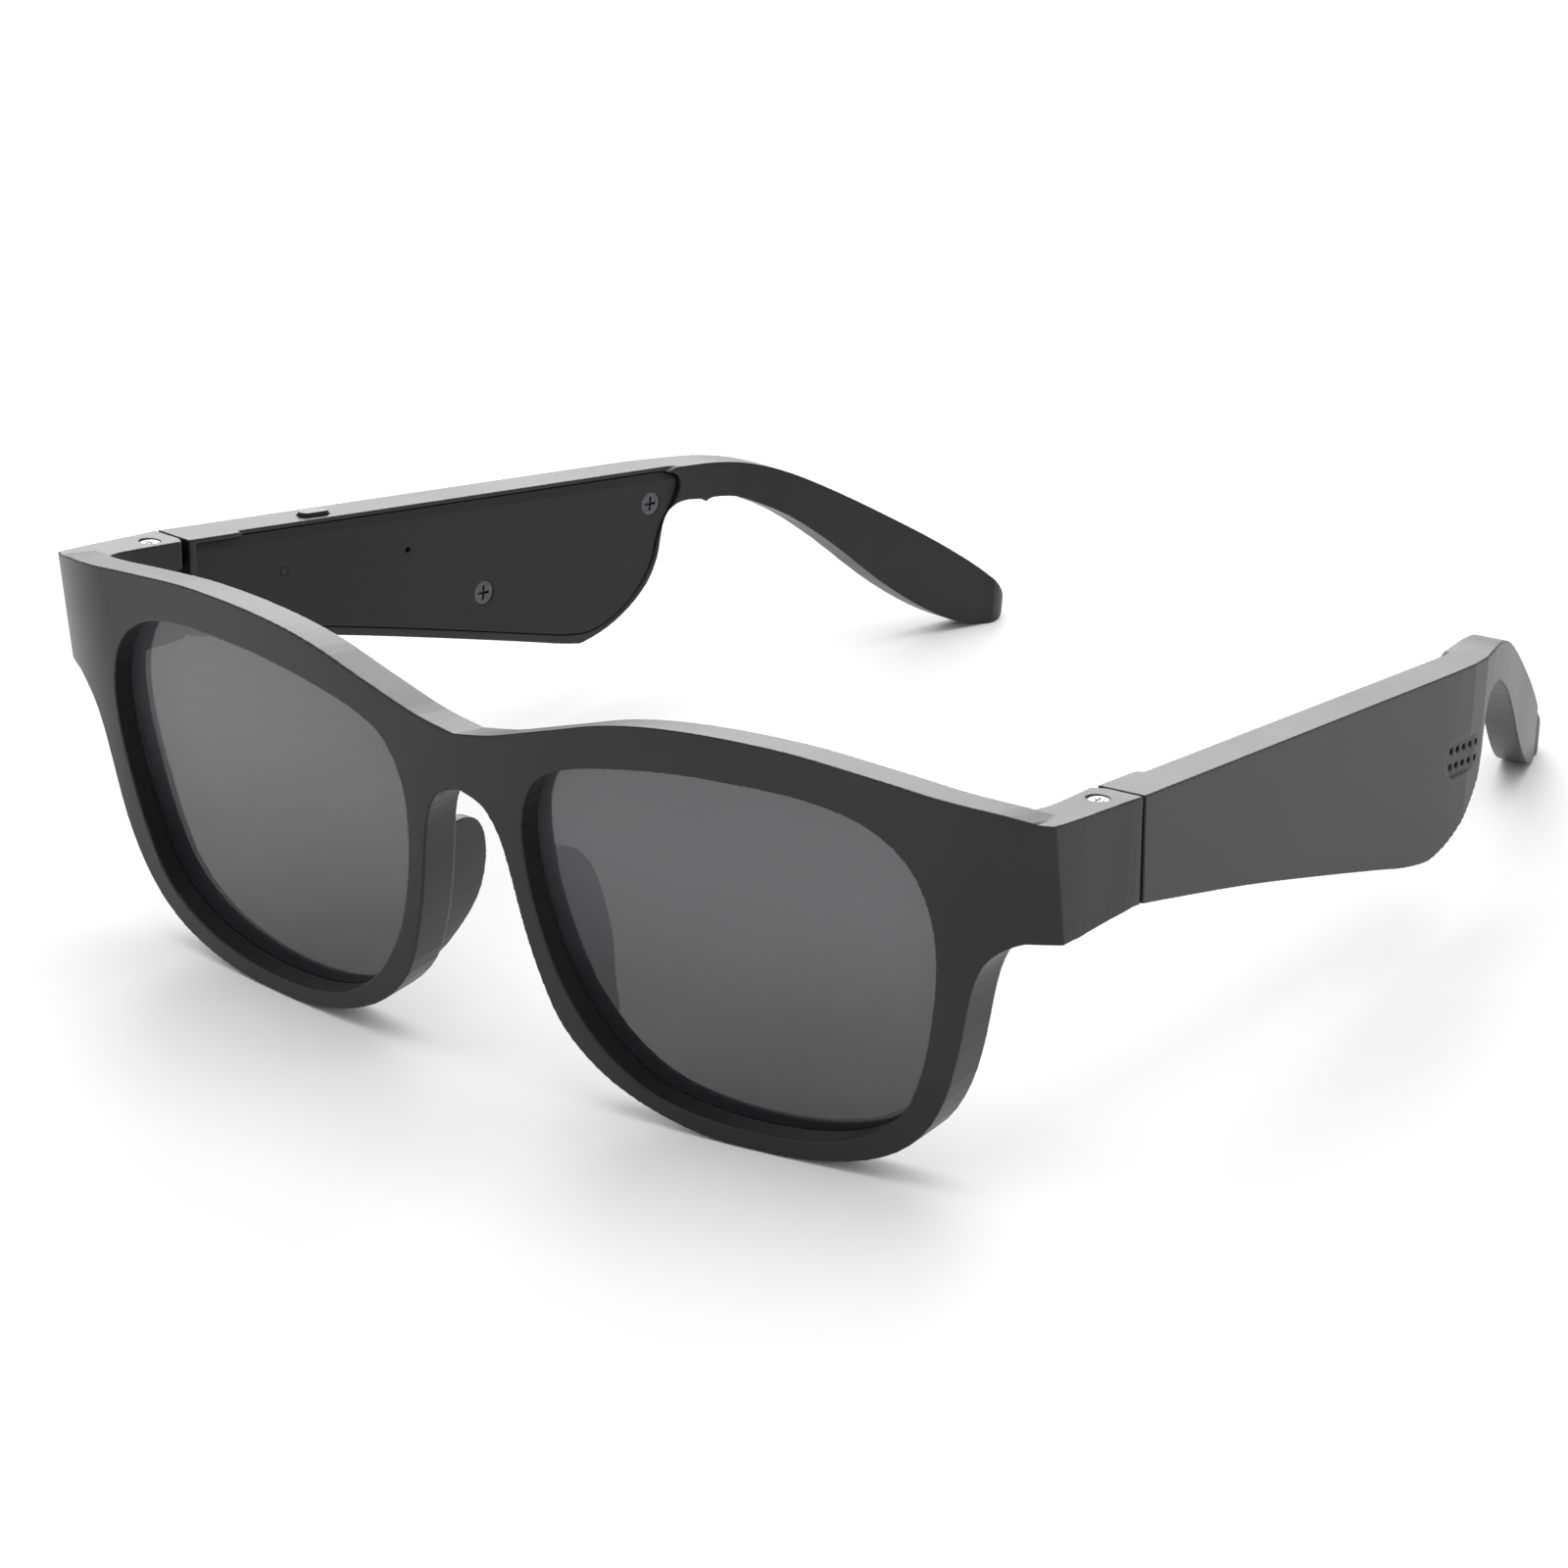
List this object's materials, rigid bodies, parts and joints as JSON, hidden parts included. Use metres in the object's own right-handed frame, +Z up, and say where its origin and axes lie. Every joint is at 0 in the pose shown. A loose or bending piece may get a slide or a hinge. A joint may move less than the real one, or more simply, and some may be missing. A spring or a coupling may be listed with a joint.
{
  "type": "smart glasses",
  "caption": "Audio smart glasses: thick bowed front with two dark lenses, hinged temples holding electronics behind screwed inner covers, ear hooks and a top button",
  "frame": {"origin": "centre of the bounding box's bottom face, level with the lowest points of the rims and the ear hook tips", "axes": "+X to the wearer's left, -Y the way the front looks, +Z up; the object is symmetric across X in shape, apart from the button, pinholes and switch on the wearer's right"},
  "size_m": [0.1398, 0.1482, 0.0475],
  "materials": {
    "frame_plastic": "satin",
    "lens_tint": "polished",
    "steel": "brushed",
    "cover_plastic": "satin",
    "dark_screw": "blackened",
    "board": "matte",
    "battery_can": "satin",
    "mesh_metal": "woven",
    "speaker_body": "matte",
    "chip": "matte",
    "mic_metal": "plated",
    "clear_pipe": "clear",
    "switch_body": "matte",
    "button_plastic": "satin",
    "ribbon": "film"
  },
  "bodies": {
    "front": {"front_frame": "frame_plastic", "lens_right": "lens_tint", "lens_left": "lens_tint", "hinge_screw_right": "steel", "hinge_screw_left": "steel"},
    "temple_right": {"temple_shell_right": "frame_plastic", "inner_cover_right": "cover_plastic", "cover_screw_front_right": "dark_screw", "cover_screw_rear_right": "dark_screw", "hinge_core_right": "steel", "circuit_board_right": "board", "battery_right": "battery_can", "speaker_right": "speaker_body", "speaker_mesh_right": "mesh_metal", "processor_right": "chip", "microphone_right": "mic_metal", "light_pipe_right": "clear_pipe", "tactile_switch_right": "switch_body", "wire_set_right": "ribbon"},
    "temple_left": {"temple_shell_left": "frame_plastic", "inner_cover_left": "cover_plastic", "cover_screw_front_left": "dark_screw", "cover_screw_rear_left": "dark_screw", "hinge_core_left": "steel", "circuit_board_left": "board", "battery_left": "battery_can", "speaker_left": "speaker_body", "speaker_mesh_left": "mesh_metal", "processor_left": "chip", "wire_set_left": "ribbon"},
    "button": {"button_right": "button_plastic"}
  },
  "joints": [
    {"name": "left_temple_fold", "type": "hinge", "parent": "front", "child": "temple_left", "pos_m": [0.0667, -0.0519, 0.0358], "axis": [0, 0.0454, 0.999], "range_deg": [0, 79]},
    {"name": "right_temple_fold", "type": "hinge", "parent": "front", "child": "temple_right", "pos_m": [-0.0667, -0.0519, 0.0358], "axis": [0, -0.0454, -0.999], "range_deg": [0, 63]},
    {"name": "button_press", "type": "slide", "parent": "temple_right", "child": "button", "axis": [0, -0.1478, -0.989], "range_m": [0, 0.0004], "stiffness_N_per_m": 300, "springref_m": -0.0003}
  ]
}
